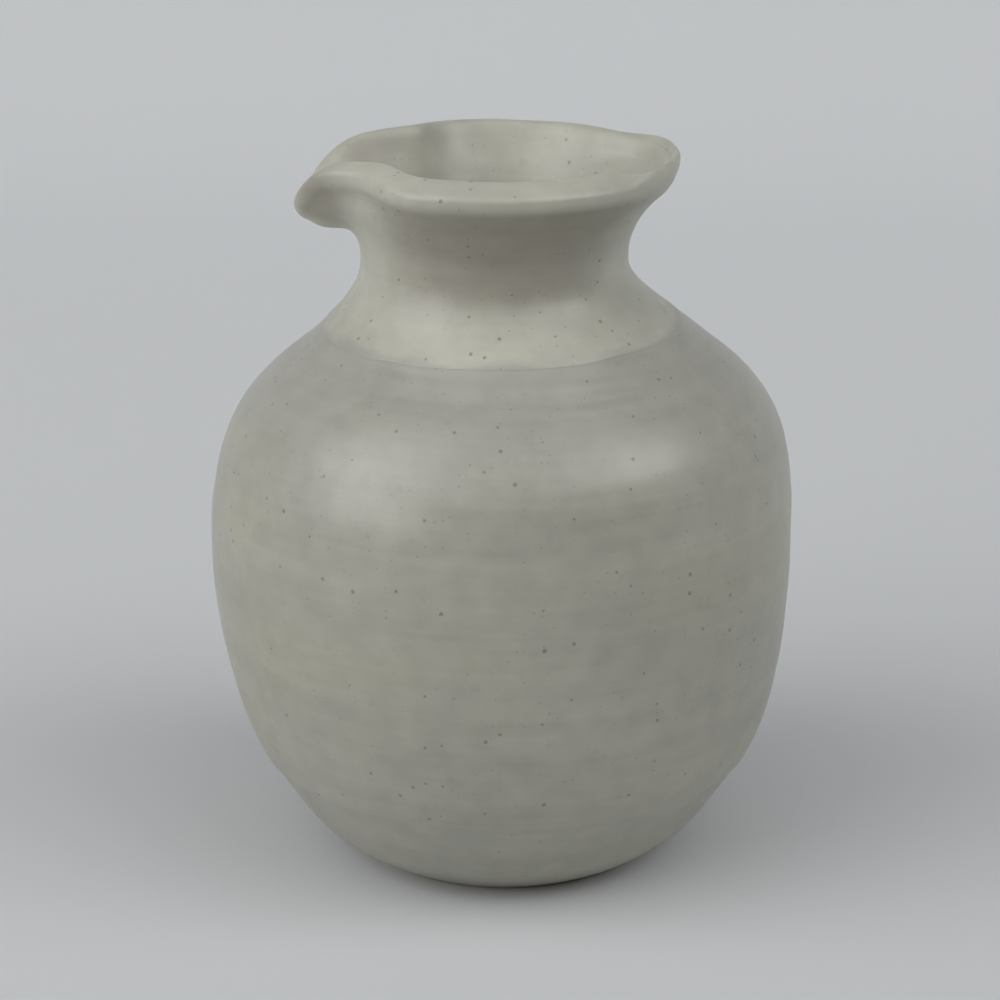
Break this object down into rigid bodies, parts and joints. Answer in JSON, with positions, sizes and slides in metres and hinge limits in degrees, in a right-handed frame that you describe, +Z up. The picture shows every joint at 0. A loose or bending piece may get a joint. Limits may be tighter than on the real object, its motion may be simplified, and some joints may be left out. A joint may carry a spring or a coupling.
{
  "type": "spouted jar",
  "caption": "Round-bellied stoneware pouring jar with a narrow flared neck, a rolled lip and a spout pulled from the rim, in pale speckled satin glaze.",
  "frame": {"origin": "middle of the foot's underside, on the turning axis", "axes": "+Z up along the turning axis, spout towards -X"},
  "size_m": [0.1157, 0.1157, 0.1435],
  "materials": {
    "bare_stoneware": "unglazed, fired, dry to the touch",
    "grey_satin_glaze": "satin-matt, fine dark specks",
    "cream_satin_glaze": "satin-matt, fine dark specks",
    "cream_liner_glaze": "satin-matt, fine dark specks"
  },
  "bodies": {
    "root": {"clay_body": "bare_stoneware", "body_glaze": "grey_satin_glaze", "neck_glaze": "cream_satin_glaze", "liner_glaze": "cream_liner_glaze"}
  },
  "joints": []
}
